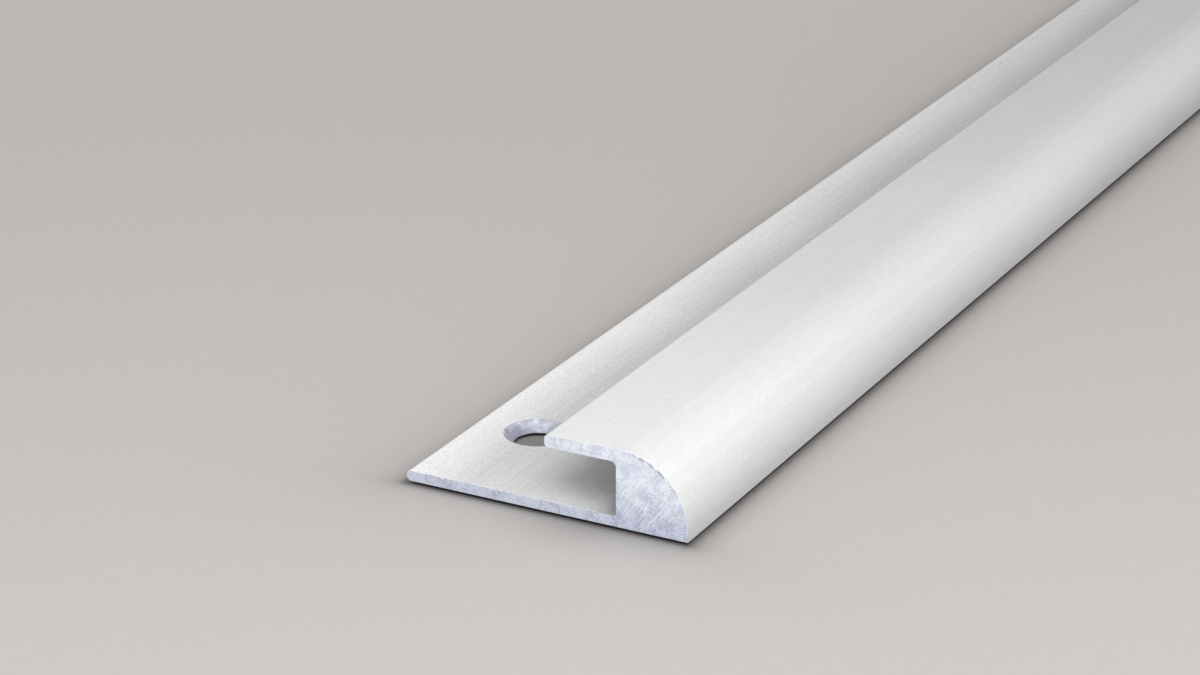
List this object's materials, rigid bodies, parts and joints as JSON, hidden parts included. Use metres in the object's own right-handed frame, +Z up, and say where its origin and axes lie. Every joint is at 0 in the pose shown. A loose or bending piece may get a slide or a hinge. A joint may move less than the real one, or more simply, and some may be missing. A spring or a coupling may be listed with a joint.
{
  "type": "tile edge trim",
  "caption": "Straight aluminium edge trim with a drilled screw flange, a slot for the covering's edge and a quarter-round nose.",
  "frame": {"origin": "middle of the flat underside, halfway along the bar and halfway across it", "axes": "+Y along the bar, +X across it from the flange towards the nose, +Z up from the underside"},
  "size_m": [0.0274, 0.9, 0.0072],
  "materials": {
    "anodised_aluminium": "matt silver anodised, with bare sawn ends and bare countersinks"
  },
  "bodies": {
    "root": {"edge_trim": "anodised_aluminium"}
  },
  "joints": []
}
